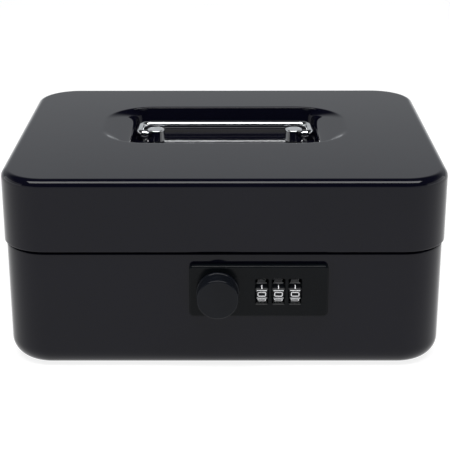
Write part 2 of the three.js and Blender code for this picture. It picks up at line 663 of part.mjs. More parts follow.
const cashBox = new THREE.Group();

function place(name, shape, look, group = cashBox) {
  const geometry = shape.isBufferGeometry ? shape : geometryOf(shape);
  const mesh = new THREE.Mesh(geometry, look);
  mesh.name = name;
  group.add(mesh);
}

function addGroup() {
  const group = new THREE.Group();
  cashBox.add(group);
  return group;
}

const bodyGroup = addGroup();
place('body_shell', bodyShell(), glossBlack, bodyGroup);

const lidGroup = addGroup();
place('lid_shell', lidShell(), glossBlack, lidGroup);
place('lid_keeper', lidKeeper(), zincSteel, lidGroup);

const hingeGroup = addGroup();
[['left', -1], ['right', 1]].forEach(([side, sign]) => {
  const x = sign * HINGE.x;
  place(`hinge_body_leaf_${side}`, hingeBodyLeaf(x), glossBlack, hingeGroup);
  place(`hinge_lid_leaf_${side}`, hingeLidLeaf(x), glossBlack, hingeGroup);
  place(`hinge_pin_${side}`, hingePin(x), zincSteel, hingeGroup);
  [-1, 1].forEach((step, index) => {
    const rivetX = x + step * RIVET.spread;
    const bodyRivet = rivet(rivetX, LID.halfY - BODY.overhang, RIVET.bodyZ);
    const lidRivet = rivet(rivetX, LID.halfY, RIVET.lidZ);
    place(`hinge_body_rivet_${side}_${index + 1}`, bodyRivet, glossBlack, hingeGroup);
    place(`hinge_lid_rivet_${side}_${index + 1}`, lidRivet, glossBlack, hingeGroup);
  });
});

const lockGroup = addGroup();
place('lock_faceplate', lockFaceplate(), blackPlastic, lockGroup);
place('lock_case', lockCase(), housingPlastic, lockGroup);
screwPlaces().forEach(([x, z], index) => {
  place(`lock_screw_${index + 1}`, lockScrew(x, z), zincSteel, lockGroup);
});
DIAL_NAMES.forEach((name, index) => {
  place(`dial_${name}`, dialWheel(index), dialPlastic, lockGroup);
  place(`tumbler_${name}`, tumbler(index), brass, lockGroup);
});
place('dial_spindle', dialSpindle(), zincSteel, lockGroup);
place('detent_spring', detentSpring(), springSteel, lockGroup);
place('fence_plate', fencePlate(), housingPlastic, lockGroup);
place('reset_lever', resetLever(), housingPlastic, lockGroup);
place('knob', knob(), blackPlastic, lockGroup);
place('knob_spindle', knobSpindle(), zincSteel, lockGroup);
place('latch_hook', latchHook(), zincSteel, lockGroup);
place('hook_washer', hookWasher(), zincSteel, lockGroup);
place('hook_screw', hookScrew(), zincSteel, lockGroup);

const handleGroup = addGroup();
place('handle_bail', handleBail(), chrome, handleGroup);
[['left', -1], ['right', 1]].forEach(([side, sign]) => {
  const x = sign * POST.x;
  place(`handle_post_${side}`, handlePost(x), chrome, handleGroup);
  place(`handle_washer_${side}`, handleWasher(x), zincSteel, handleGroup);
  place(`handle_nut_${side}`, handleNut(x), zincSteel, handleGroup);
});

const trayGroup = addGroup();
place('coin_tray', coinTray(), trayPlastic, trayGroup);

export default cashBox;
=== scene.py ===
"""Visual model of the cash box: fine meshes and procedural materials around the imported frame.

Lengths in the tables below are millimetres; MM turns them into Blender's metres.
"""
import json
import math

import bmesh
import bpy
from mathutils import Matrix, Vector


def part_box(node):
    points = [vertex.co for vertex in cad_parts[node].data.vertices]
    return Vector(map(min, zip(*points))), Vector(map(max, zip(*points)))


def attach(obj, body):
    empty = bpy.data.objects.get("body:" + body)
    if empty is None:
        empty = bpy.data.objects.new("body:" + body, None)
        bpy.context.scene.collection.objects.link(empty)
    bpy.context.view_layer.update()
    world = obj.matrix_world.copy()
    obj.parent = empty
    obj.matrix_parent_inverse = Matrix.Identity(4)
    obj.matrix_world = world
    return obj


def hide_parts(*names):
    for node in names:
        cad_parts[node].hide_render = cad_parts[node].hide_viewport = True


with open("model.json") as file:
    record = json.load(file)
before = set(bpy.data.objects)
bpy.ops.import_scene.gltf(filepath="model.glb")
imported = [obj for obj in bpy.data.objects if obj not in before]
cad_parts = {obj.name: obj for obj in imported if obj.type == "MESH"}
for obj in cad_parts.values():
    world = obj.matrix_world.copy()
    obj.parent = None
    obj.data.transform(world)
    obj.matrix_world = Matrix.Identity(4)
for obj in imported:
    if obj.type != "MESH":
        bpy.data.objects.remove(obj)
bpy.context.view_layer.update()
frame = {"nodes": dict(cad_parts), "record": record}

MM = 0.001


# ---------------------------------------------------------------- sizes


def box_mm(node):
    """The lowest and highest corner of a CAD node, in millimetres."""
    low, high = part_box(node)
    return low / MM, high / MM


def centre_of(node):
    """The middle of a CAD node, in millimetres."""
    return tuple((a + b) / 2 for a, b in zip(*box_mm(node)))


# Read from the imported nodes.
LID_LOW, LID_HIGH = box_mm("lid_shell")
BODY_LOW, BODY_HIGH = box_mm("body_shell")
PLATE_LOW, PLATE_HIGH = box_mm("lock_faceplate")
KNOB_LOW, KNOB_HIGH = box_mm("knob")
BAIL_LOW, BAIL_HIGH = box_mm("handle_bail")
OVERHANG = LID_HIGH.x - BODY_HIGH.x

SIDES = ("left", "right")
DIALS = ("left", "middle", "right")

# Repeated from the CAD, where a node's box can't give them.
SHEET = 1.0
LID_CORNER = 21.0
LID_EDGE = 3.6
BOTTOM_EDGE = 9.0
SHOULDER = 55.9
SHOULDER_EDGE = 0.8
NECK_INSET = 2.4
RIM_FLANGE = 3.0
CORNER_STEPS = 20

RECESS_Y = 10.0
RECESS_DEPTH = 8.7
RECESS_TOP = {"half_x": 60.0, "half_y": 33.0, "r": 24.0}
RECESS_FLOOR = {"half_x": 45.0, "half_y": 29.5, "r": 4.0}
RECESS_RIM = 1.1
SCOOP = [(0, 0), (0.02, 0.25), (0.045, 0.45), (0.08, 0.55), (0.14, 0.62), (0.22, 0.68),
         (0.34, 0.75), (0.48, 0.82), (0.64, 0.89), (0.8, 0.945), (0.92, 0.985), (1, 1)]
SUPPORT_WIDTH = 1.2
RECESS_FOOT = 1.6
FOOT_POINTS = 8
WALL_STEPS = 16

WIRE_R = 1.9
WIRE_SIDES = 20
PIN_HOLE_R = 1.7
POST_HOLE_R = 2.3
RIVET_HOLE_R = 1.6

PLATE_X = (PLATE_LOW.x + PLATE_HIGH.x) / 2
LOCK_Z = (PLATE_LOW.z + PLATE_HIGH.z) / 2
PLATE_SKIN = 1.3
PLATE_EDGE, PLATE_CORNER = 0.8, 2.0
BOSS_RISE = 1.3
LOCK_OPENING = {"x": (-8, 39.2), "half_z": 9.5}
DIAL_POCKET = {"x": (13, 36.4), "half_z": 6.5}
WINDOW = {"half_x": 2.75, "half_z": 5.9, "corner": 0.4, "flare": 0.35}
SCREW_HOLE_R = 2.7
KNOB_HOLE_R = 3.7
KNOB_GRIP_R, KNOB_EDGE = 9.2, 0.7


# ---------------------------------------------------------------- mesh helpers


def new_piece(name, mesh):
    """A new object holding a mesh, linked to the scene."""
    piece = bpy.data.objects.new(name, mesh)
    bpy.context.scene.collection.objects.link(piece)
    return piece


def mesh_from(name, vertices, faces):
    """A mesh from millimetre points, with its faces turned outwards."""
    mesh = bpy.data.meshes.new(name)
    mesh.from_pydata([Vector(v) * MM for v in vertices], [], faces)
    clean = bmesh.new()
    clean.from_mesh(mesh)
    bmesh.ops.remove_doubles(clean, verts=clean.verts, dist=1e-7)
    bmesh.ops.recalc_face_normals(clean, faces=clean.faces)
    clean.to_mesh(mesh)
    clean.free()
    return mesh


def smooth(piece, sharp_degrees):
    """Smooth shading, broken at the edges sharper than an angle."""
    mesh = piece.data
    mesh.polygons.foreach_set("use_smooth", [True] * len(mesh.polygons))
    mesh.set_sharp_from_angle(angle=math.radians(sharp_degrees))
    return piece


def settle(piece):
    """Applies a piece's modifiers."""
    graph = bpy.context.evaluated_depsgraph_get()
    mesh = bpy.data.meshes.new_from_object(piece.evaluated_get(graph))
    piece.modifiers.clear()
    piece.data = mesh


def carve(piece, cutters, operation="DIFFERENCE"):
    """Cuts the cutters from a piece, or joins them to it, and removes them."""
    for cutter in cutters:
        step = piece.modifiers.new("carve", "BOOLEAN")
        step.operation = operation
        step.solver = "EXACT"
        step.object = cutter
        settle(piece)
        bpy.data.objects.remove(cutter)
    return piece


def block(name, low, high):
    """A box between two corners."""
    corners = [
        (x, y, z)
        for x in (low[0], high[0]) for y in (low[1], high[1]) for z in (low[2], high[2])
    ]
    faces = [(0, 1, 3, 2), (4, 6, 7, 5), (0, 4, 5, 1), (2, 3, 7, 6), (0, 2, 6, 4), (1, 5, 7, 3)]
    return new_piece(name, mesh_from(name, corners, faces))


def skin_faces(levels, count, closed=False):
    """Quads from each ring of points to the next, and from the last to the first if closed."""
    faces = []
    for level in range(levels if closed else levels - 1):
        low, high = level * count, (level + 1) % levels * count
        for i in range(count):
            j = (i + 1) % count
            faces.append((low + i, low + j, high + j, high + i))
    return faces


def end_caps(levels, count):
    """The flat faces that close the first and the last ring of points."""
    return [tuple(range(count)), tuple(range((levels - 1) * count, levels * count))]


def turned(name, profile, place, axis, sides):
    """A profile of (radius, distance) turned about X, Y or Z through a place.

    A profile that starts and ends at radius 0 is closed by the axis; any other closes on itself.
    """
    vertices = []
    for r, along in profile:
        for side in range(sides):
            angle = 2 * math.pi * side / sides
            ring = (r * math.cos(angle), r * math.sin(angle))
            turns = {"X": (along, *ring), "Y": (ring[0], along, ring[1]), "Z": (*ring, along)}
            vertices.append(tuple(p + q for p, q in zip(turns[axis], place)))
    faces = skin_faces(len(profile), sides, closed=profile[0][0] != 0)
    return new_piece(name, mesh_from(name, vertices, faces))


def bore(r, start, end, place, axis, sides):
    """A round cutter from one distance to another along an axis through a place."""
    return turned("hole", [(0, start), (r, start), (r, end), (0, end)], place, axis, sides)


def arc(centre, r, start, end, steps):
    """Points of an arc in a plane, angles in degrees."""
    angles = [math.radians(start + (end - start) * step / steps) for step in range(steps + 1)]
    return [(centre[0] + r * math.cos(a), centre[1] + r * math.sin(a)) for a in angles]


def ring_points(ring, steps):
    """A rounded rectangle at a height: {x, y, half_x, half_y, r, z}."""
    points = []
    corners = ((1, 1), (-1, 1), (-1, -1), (1, -1))
    for corner, (sign_x, sign_y) in enumerate(corners):
        centre = (
            ring.get("x", 0) + sign_x * (ring["half_x"] - ring["r"]),
            ring.get("y", 0) + sign_y * (ring["half_y"] - ring["r"]),
        )
        turn = corner * 90
        points += [(x, y, ring["z"]) for x, y in arc(centre, ring["r"], turn, turn + 90, steps)]
    return points


def loft(name, rings, steps=CORNER_STEPS):
    """A skin through rings, with a flat cap at each end."""
    loops = [ring_points(ring, steps) for ring in rings]
    count = len(loops[0])
    faces = skin_faces(len(loops), count) + end_caps(len(loops), count)
    return new_piece(name, mesh_from(name, [v for loop in loops for v in loop], faces))


def stood_up(piece):
    """Stands a loft on its side, so that its heights become depths, with its faces outwards."""
    piece.data.transform(Matrix(((1, 0, 0, 0), (0, 0, 1, 0), (0, 1, 0, 0), (0, 0, 0, 1))))
    work = bmesh.new()
    work.from_mesh(piece.data)
    bmesh.ops.recalc_face_normals(work, faces=work.faces)
    work.to_mesh(piece.data)
    work.free()
    return piece


def outline_rings(profile):
    """Rings of the box's outline, from (inset, z) points set in from the lid's outer face."""
    half_x, half_y = (LID_HIGH.x - LID_LOW.x) / 2, (LID_HIGH.y - LID_LOW.y) / 2
    return [
        {"half_x": half_x - inset, "half_y": half_y - inset, "r": LID_CORNER - inset, "z": z}
        for inset, z in profile
    ]


# ---------------------------------------------------------------- lid and body


def pocket_profile(wall):
    """The handle pocket's long side as (half_y, z) from its floor to the lid's top."""
    top, floor = LID_HIGH.z, LID_HIGH.z - RECESS_DEPTH
    foot = RECESS_FOOT + wall
    rim = max(RECESS_RIM - wall, 0.25)
    inner = RECESS_FLOOR["half_y"] + wall
    outer = RECESS_TOP["half_y"] + wall
    low = [(y, z - wall) for y, z in arc((inner - foot + wall, floor + foot), foot, -90, -12,
                                      FOOT_POINTS - 1)]
    high = [(y, z - wall) for y, z in arc((outer, top - rim), rim, 168, 90, 6)]
    return low + high


def slope_share(height):
    """How far out the pocket's end is at a share of its depth: a steep drop, then a scoop."""
    for (share, level), (next_share, next_level) in zip(SCOOP, SCOOP[1:]):
        if height <= next_level:
            step = max(height - level, 0) / (next_level - level)
            return share + (next_share - share) * step
    return 1.0


def pocket_rings(wall):
    """The handle pocket's rings, from its floor to the lid's top, grown by a wall thickness."""
    floor = LID_HIGH.z - RECESS_DEPTH - wall
    profile = pocket_profile(wall)
    foot, rim = profile[:FOOT_POINTS], profile[FOOT_POINTS:]
    lower, upper = foot[-1], rim[0]
    middle = [(lower[0] + (upper[0] - lower[0]) * s, lower[1] + (upper[1] - lower[1]) * s)
              for s in (step / WALL_STEPS for step in range(1, WALL_STEPS))]
    rings = []
    for half_y, z in foot + middle + rim:
        share = slope_share((z - floor) / RECESS_DEPTH)
        half_x = RECESS_FLOOR["half_x"] + (RECESS_TOP["half_x"] - RECESS_FLOOR["half_x"]) * share
        r = RECESS_FLOOR["r"] + (RECESS_TOP["r"] - RECESS_FLOOR["r"]) * share
        rings.append({"y": RECESS_Y, "half_x": half_x + wall, "half_y": half_y, "r": r + wall,
                      "z": z})
    return rings


def support(ring):
    """A ring a little outside another, which keeps the flat sheet beside it evenly shaded."""
    return {**ring, **{key: ring[key] + SUPPORT_WIDTH for key in ("half_x", "half_y", "r")}}


def lid_shell():
    """The lid as one skin: pocket, top, rounded edge, side, lower edge and the inner face."""
    top, bottom, edge, lip = LID_HIGH.z, LID_LOW.z, LID_EDGE, 0.45
    outside = [(edge + 1.5, top), (edge + 0.4, top)]
    outside += [(edge - y, z) for y, z in arc((0, top - edge), edge, 90, 0, 12)]
    outside += [(0, top - edge - 0.5), (0, bottom + lip + 0.4)]
    outside += [(lip - y, z) for y, z in arc((0, bottom + lip), lip, 0, -90, 4)]
    inner_edge = edge - SHEET
    inside = [(SHEET - 0.15, bottom), (SHEET, bottom + 0.2), (SHEET, top - edge - 0.5)]
    inside += [(edge - y, z) for y, z in arc((0, top - edge), inner_edge, 0, 90, 8)]
    inside += [(edge + 0.5, top - SHEET), (edge + 1.5, top - SHEET)]
    above, below = pocket_rings(0), pocket_rings(SHEET)
    rings = above + [support(above[-1])] + outline_rings(outside + inside)
    rings += [support(below[-1])] + list(reversed(below))
    lid = loft("lid_skin", rings)
    x, y, _ = centre_of("handle_post_left")
    floor = top - RECESS_DEPTH
    holes = [bore(POST_HOLE_R, floor - 3, floor + 1, (sign * abs(x), y, 0), "Z", 24)
             for sign in (-1, 1)]
    return smooth(carve(lid, holes + rivet_holes("lid")), 40)


def rivet_holes(leaf):
    """Cutters for the holes that the rivets of the hinges' body or lid leaves go through."""
    holes = []
    for node in (f"hinge_{leaf}_rivet_{side}_{step}" for side in SIDES for step in (1, 2)):
        low, high = box_mm(node)
        x, _, z = centre_of(node)
        holes.append(bore(RIVET_HOLE_R, low.y - 1, high.y + 1, (x, 0, z), "Y", 20))
    return holes


def screw_places():
    """Where the four lock screws' axes stand, seen from the front."""
    centres = [centre_of(f"lock_screw_{index}") for index in range(1, 5)]
    return [(x, 0, z) for x, _, z in centres]


def body_shell():
    """The body as one skin: bottom, rounded edge, side, shoulder, neck, rim flange, inside."""
    out = OVERHANG
    inside = out + SHEET
    centre = out + BOTTOM_EDGE
    neck = NECK_INSET
    neck_in = neck + SHEET
    rim = BODY_HIGH.z
    rise = SHOULDER - SHOULDER_EDGE
    profile = [(centre + 3, 0)]
    profile += [(centre - y, z) for y, z in arc((0, BOTTOM_EDGE), BOTTOM_EDGE, -90, 0, 14)]
    profile += [(out, BOTTOM_EDGE + 1), (out, rise - 0.5)]
    profile += [(out + SHOULDER_EDGE - y, z) for y, z in arc((0, rise), SHOULDER_EDGE, 0, 84, 6)]
    profile += [(neck - 0.1, SHOULDER), (neck, SHOULDER + 0.15), (neck, rim - 1.3)]
    profile += [(neck + 1 - y, z) for y, z in arc((0, rim - 1), 1, 0, 90, 5)]
    flange = neck_in + RIM_FLANGE
    profile += [(flange - 0.3, rim), (flange, rim - 0.3), (flange, rim - 0.75)]
    profile += [(flange - 0.25, rim - SHEET), (neck_in + 0.6, rim - SHEET)]
    profile += [(neck_in, rim - SHEET - 0.5), (neck_in, SHOULDER - SHEET + 0.4)]
    profile += [(neck_in - 0.3, SHOULDER - SHEET), (inside, SHOULDER - SHEET - 0.4)]
    profile += [(inside, BOTTOM_EDGE + 0.5)]
    profile += [(centre - y, z) for y, z in arc((0, BOTTOM_EDGE), BOTTOM_EDGE - SHEET, 0, -90, 10)]
    profile += [(centre + 3, SHEET)]
    body = loft("body_skin", outline_rings(profile))
    front = BODY_LOW.y
    (left, right), half_z = LOCK_OPENING["x"], LOCK_OPENING["half_z"]
    cutters = [block("window", (left, front - 1, LOCK_Z - half_z),
                     (right, front + 2, LOCK_Z + half_z))]
    cutters += [bore(SCREW_HOLE_R, front - 1, front + 2, place, "Y", 28)
                for place in screw_places()]
    return smooth(carve(body, cutters + rivet_holes("body")), 40)


# ---------------------------------------------------------------- handle


def bail_path():
    """The wire's centre line, from one post round the grip to the other."""
    half_x = BAIL_HIGH.x - WIRE_R
    start = BAIL_LOW.y + WIRE_R
    end = BAIL_HIGH.y - WIRE_R
    z = (BAIL_LOW.z + BAIL_HIGH.z) / 2
    eye, grip = 2.9, 4.4
    inner = 39.0
    path = [(-inner, start), (-half_x + eye + 0.2, start)]
    path += arc((-half_x + eye, start + eye), eye, 270, 180, 10)
    path += arc((-half_x + grip, end - grip), grip, 180, 90, 14)
    path += [(-20, end), (0, end)]
    mirrored = [(-x, y) for x, y in reversed(path[:-1])]
    return [Vector((x, y, z)) for x, y in path + mirrored]


def handle_bail():
    """A round wire along the bail's path, with thinner pins in the posts."""
    path = bail_path()
    up = Vector((0, 0, 1))
    angles = [2 * math.pi * k / WIRE_SIDES for k in range(WIRE_SIDES)]
    vertices = []
    for i, point in enumerate(path):
        before, after = path[max(i - 1, 0)], path[min(i + 1, len(path) - 1)]
        side = (after - before).normalized().cross(up)
        vertices += [point + side * WIRE_R * math.cos(a) + up * WIRE_R * math.sin(a)
                     for a in angles]
    faces = skin_faces(len(path), WIRE_SIDES) + end_caps(len(path), WIRE_SIDES)
    bail = new_piece("bail_wire", mesh_from("bail_wire", vertices, faces))
    place = (0, path[0].y, path[0].z)
    pins = [
        turned("pin", [(0, sign * 30.9), (1.2, sign * 30.9), (1.4, sign * 31.1),
                       (1.4, sign * 39.5), (0, sign * 39.5)], place, "X", 24)
        for sign in (-1, 1)
    ]
    return smooth(carve(bail, pins, "UNION"), 40)


def handle_post(side):
    """A post with a flat top, a fine turned edge and the hole for the bail's pin."""
    low, high = box_mm(f"handle_post_{side}")
    x, y, _ = centre_of(f"handle_post_{side}")
    r, stem, foot = (high.x - low.x) / 2, 2.0, LID_HIGH.z - RECESS_DEPTH + 0.3
    profile = [(0, low.z), (stem - 0.3, low.z), (stem, low.z + 0.3), (stem, foot)]
    profile += [(r - 0.2, foot), (r, foot + 0.2), (r, high.z - 0.55)]
    profile += arc((r - 0.45, high.z - 0.45), 0.45, 0, 90, 5)
    profile += [(r - 0.9, high.z), (0, high.z)]
    post = turned(f"post_{side}", profile, (x, y, 0), "Z", 56)
    z = (BAIL_LOW.z + BAIL_HIGH.z) / 2
    hole = bore(PIN_HOLE_R, -6, 6, (x, BAIL_LOW.y + WIRE_R, z), "X", 28)
    return smooth(carve(post, [hole]), 35)


# ---------------------------------------------------------------- lock


def lock_faceplate():
    """The moulded plate with softened edges, three windows, the knob's hole and rear bosses."""
    rear, front = PLATE_HIGH.y - BOSS_RISE, PLATE_LOW.y
    half_x, half_z = (PLATE_HIGH.x - PLATE_LOW.x) / 2, (PLATE_HIGH.z - PLATE_LOW.z) / 2
    edge = PLATE_EDGE
    profile = [(0.25, rear), (0, rear - 0.25), (0, front + edge + 0.3)]
    for degrees in range(0, 91, 18):
        angle = math.radians(degrees)
        profile.append((edge - edge * math.cos(angle), front + edge - edge * math.sin(angle)))
    profile += [(edge + 0.5, front)]
    rings = [{"x": PLATE_X, "y": LOCK_Z, "half_x": half_x - inset, "half_y": half_z - inset,
              "r": PLATE_CORNER - inset, "z": y} for inset, y in profile]
    plate = stood_up(loft("faceplate", rings, 8))
    windows = [window_cutter(name, front) for name in DIALS]
    dial, _, _ = dial_centre("middle")
    (left, right), reach = DIAL_POCKET["x"], DIAL_POCKET["half_z"]
    pocket = block("pocket", (left, front + PLATE_SKIN, dial.z - reach),
                   (right, rear + 1, dial.z + reach))
    knob_x = (KNOB_LOW.x + KNOB_HIGH.x) / 2
    hole = bore(KNOB_HOLE_R, front - 1, rear + 1, (knob_x, 0, LOCK_Z), "Y", 40)
    carve(plate, [*windows, pocket, hole])
    profile = [(0, rear - 0.5), (2.4, rear - 0.5), (2.4, rear + 1.2), (1.35, rear + BOSS_RISE),
               (1.35, rear - 0.2), (0, rear - 0.2)]
    bosses = [turned("boss", profile, place, "Y", 28) for place in screw_places()]
    return smooth(carve(plate, bosses, "UNION"), 30)


def window_cutter(name, front):
    """A dial's window, flared by a small chamfer at the plate's front face."""
    x, _, _ = centre_of(f"dial_{name}")
    flare = WINDOW["flare"]
    levels = [(flare + 0.1, front - 0.1), (0, front + flare), (0, front + 4)]
    rings = [{"x": x, "y": LOCK_Z, "half_x": WINDOW["half_x"] + grow,
              "half_y": WINDOW["half_z"] + grow, "r": WINDOW["corner"] + grow, "z": y}
             for grow, y in levels]
    return stood_up(loft("window", rings, 4))


def knob():
    """The knob: a collar, a straight grip, a rounded front edge and a socket at the back."""
    x, z = (KNOB_LOW.x + KNOB_HIGH.x) / 2, (KNOB_LOW.z + KNOB_HIGH.z) / 2
    collar, rear, face = (KNOB_HIGH.x - KNOB_LOW.x) / 2, KNOB_HIGH.y, KNOB_LOW.y
    grip, edge = KNOB_GRIP_R, KNOB_EDGE
    profile = [(0, rear - 5.2), (3.6, rear - 5.2), (3.6, rear)]
    profile += [(collar - 0.2, rear), (collar, rear - 0.2), (collar, rear - 1.35)]
    profile += [(collar - 0.12, rear - 1.6), (grip + 0.06, rear - 1.75)]
    profile += [(grip + 0.04, rear - 2.1), (grip + 0.02, face + edge + 0.5)]
    profile += [(grip - edge + edge * math.cos(a), face + edge - edge * math.sin(a))
                for a in (math.radians(15 * step) for step in range(7))]
    profile += [(grip - edge - 0.5, face), (0, face)]
    return smooth(turned("knob_grip", profile, (x, 0, z), "Y", 96), 35)


def ribbon(points, width, closed=False):
    """A flat band along a path in a plane, as left and right points with mitred corners."""
    count = len(points)
    left, right = [], []
    for i, (x, y) in enumerate(points):
        before = points[i - 1] if i or closed else points[i]
        after = points[(i + 1) % count] if i + 1 < count or closed else points[i]
        a = Vector((x - before[0], y - before[1]))
        b = Vector((after[0] - x, after[1] - y))
        a = a.normalized() if a.length > 1e-9 else b.normalized()
        b = b.normalized() if b.length > 1e-9 else a
        normal = Vector((-(a.y + b.y), a.x + b.x)).normalized()
        reach = width / 2 / max(normal.dot(Vector((-a.y, a.x))), 0.35)
        left.append((x + normal.x * reach, y + normal.y * reach))
        right.append((x - normal.x * reach, y - normal.y * reach))
    return left, right


def rounded_path(points, r, closed=False):
    """A path with its corners rounded."""
    out = []
    count = len(points)
    for i, point in enumerate(points):
        if not closed and i in (0, count - 1):
            out.append(tuple(point))
            continue
        here = Vector(point)
        to_before = Vector(points[i - 1]) - here
        to_after = Vector(points[(i + 1) % count]) - here
        reach = min(r, to_before.length / 2, to_after.length / 2)
        start, end = here + to_before.normalized() * reach, here + to_after.normalized() * reach
        for step in range(BEND_STEPS + 1):
            t = step / BEND_STEPS
            out.append(tuple(start * (1 - t) ** 2 + here * 2 * t * (1 - t) + end * t ** 2))
    return out


DIGITS = {
    0: [([(0, 0), (1, 0), (1, 1), (0, 1)], True)],
    1: [([(0.5, 0), (0.5, 1)], False)],
    2: [([(0, 1), (1, 1), (1, 0.5), (0, 0.5), (0, 0), (1, 0)], False)],
    3: [([(0, 1), (1, 1), (1, 0), (0, 0)], False), ([(0.25, 0.5), (0.92, 0.5)], False)],
    4: [([(0, 1), (0, 0.42), (1, 0.42)], False), ([(0.72, 1), (0.72, 0)], False)],
    5: [([(1, 1), (0, 1), (0, 0.5), (1, 0.5), (1, 0), (0, 0)], False)],
    6: [([(1, 1), (0, 1), (0, 0), (1, 0), (1, 0.5), (0.08, 0.5)], False)],
    7: [([(0, 1), (1, 1), (0.4, 0)], False)],
    8: [([(0, 0), (1, 0), (1, 1), (0, 1)], True), ([(0.08, 0.5), (0.92, 0.5)], False)],
    9: [([(0, 0), (1, 0), (1, 1), (0, 1), (0, 0.5), (0.92, 0.5)], False)],
}
DIGIT_WIDTH, DIGIT_HEIGHT, DIGIT_STROKE, DIGIT_RELIEF = 3.4, 1.8, 0.38, 0.06
DIGIT_BEND, BEND_STEPS = 0.55, 5
DIAL_RIB = 0.3
DIAL_BORE_R, DIAL_RIM = 2.4, 0.22
DIAL_HUB, DIAL_HUB_DROP = 0.27, -0.35
FACE_DEGREES = 36
FLAT_HALF_DEGREES = 12.5


def digit_faces(digit, to_space, vertices, faces):
    """Adds a digit's raised strokes, drawn in the dial face's own plane."""
    for points, closed in DIGITS[digit]:
        scaled = [((u - 0.5) * DIGIT_WIDTH, (v - 0.5) * DIGIT_HEIGHT) for u, v in points]
        left, right = ribbon(rounded_path(scaled, DIGIT_BEND, closed), DIGIT_STROKE, closed)
        start, count = len(vertices), len(left)
        for height in (-0.1, DIGIT_RELIEF):
            vertices += [to_space(u, v, height) for u, v in left]
            vertices += [to_space(u, v, height) for u, v in right]
        for i in range(count if closed else count - 1):
            j = (i + 1) % count
            low_left, low_right = start, start + count
            top_left, top_right = start + 2 * count, start + 3 * count
            faces.append((top_left + i, top_left + j, top_right + j, top_right + i))
            faces.append((low_left + i, low_right + i, low_right + j, low_left + j))
            faces.append((low_left + i, low_left + j, top_left + j, top_left + i))
            faces.append((low_right + i, top_right + i, top_right + j, low_right + j))
        if not closed:
            for i in (0, count - 1):
                ends = (start + i, start + count + i, start + 3 * count + i, start + 2 * count + i)
                faces.append(ends)


def dial_centre(name):
    """A dial's centre, half width and rib radius."""
    low, high = box_mm(f"dial_{name}")
    return (low + high) / 2, (high.x - low.x) / 2, (high.z - low.z) / 2


def dial_wheel(name):
    """A dial: ten flat faces, a rounded rib between each two, and softened rims."""
    centre, half, rib_r = dial_centre(name)
    flat_r = rib_r - DIAL_RIB
    section = []
    for digit in range(10):
        rib = math.radians(FACE_DEGREES * (digit + 0.5))
        for turn, r in ((-5.5, flat_r), (-4, flat_r + 0.1), (-2.2, rib_r - 0.06), (-0.9, rib_r),
                        (0.9, rib_r), (2.2, rib_r - 0.06), (4, flat_r + 0.1), (5.5, flat_r)):
            section.append((r, rib + math.radians(turn)))
    end, edge, drop = half + DIAL_HUB, DIAL_RIM, DIAL_HUB_DROP
    half_rows = [(end, drop), (half, drop), (half, -edge), (half - edge * 0.3, -edge * 0.3),
                 (half - edge, 0)]
    rows = [(-along, grow) for along, grow in half_rows] + half_rows[::-1]
    vertices = []
    for along, grow in rows:
        vertices += [(centre.x + along, centre.y - (r + grow) * math.cos(a),
                      centre.z + (r + grow) * math.sin(a)) for r, a in section]
    for along in (end, -end):
        vertices += [(centre.x + along, centre.y - DIAL_BORE_R * math.cos(a),
                      centre.z + DIAL_BORE_R * math.sin(a)) for _, a in section]
    faces = skin_faces(len(rows) + 2, len(section), closed=True)
    return smooth(new_piece(f"dial_wheel_{name}", mesh_from("dial_wheel", vertices, faces)), 28)


def dial_frame(centre, degrees):
    """Places a point drawn on a dial's face: across, up the face, and outwards from the axis."""
    angle = math.radians(degrees)
    out = Vector((0, -math.cos(angle), math.sin(angle)))
    up = Vector((0, math.sin(angle), math.cos(angle)))
    return lambda u, v, radius: centre + Vector((u, 0, 0)) + up * v + out * radius


def dial_digits(name):
    """White digits on the dial's faces: 0 at the front, counting up over the top."""
    centre, _, rib_r = dial_centre(name)
    face_r = (rib_r - DIAL_RIB) * math.cos(math.radians(FLAT_HALF_DEGREES))
    vertices, faces = [], []
    for digit in range(10):
        at = dial_frame(centre, FACE_DEGREES * digit)
        digit_faces(digit, lambda u, v, height, at=at: at(u, v, face_r + height), vertices, faces)
    return smooth(new_piece(f"dial_digits_{name}", mesh_from("dial_digits", vertices, faces)), 40)


def dial_collar(name):
    """A thin dark collar that covers the tumbler's rim where the window would show it."""
    centre, half, _ = dial_centre(name)
    profile = [(3.2, half + 0.2), (3.42, half + 0.2), (3.45, half + 0.24), (3.45, half + 0.5),
               (3.42, half + 0.54), (3.2, half + 0.54)]
    return smooth(turned(f"dial_collar_{name}", profile, tuple(centre), "X", 48), 40)


def dial_crests(name):
    """Pale strips along the top of each rib: partly the rib's own pale paint, partly a painted
    highlight of the glossy crests.
    """
    centre, half, rib_r = dial_centre(name)
    vertices, faces = [], []
    section = ((-0.15, rib_r - 0.3), (-0.15, rib_r), (-0.07, rib_r + 0.03), (0.07, rib_r + 0.03),
               (0.15, rib_r), (0.15, rib_r - 0.3))
    for digit in range(10):
        at = dial_frame(centre, FACE_DEGREES * (digit + 0.5))
        start, count = len(vertices), len(section)
        for u in (-half + 0.1, half - 0.1):
            vertices += [at(u, v, radius) for v, radius in section]
        for i in range(count):
            j = (i + 1) % count
            faces.append((start + i, start + j, start + count + j, start + count + i))
        faces.append(tuple(range(start, start + count)))
        faces.append(tuple(range(start + count, start + 2 * count)))
    return smooth(new_piece(f"dial_crests_{name}", mesh_from("dial_crests", vertices, faces)), 40)


# ---------------------------------------------------------------- materials


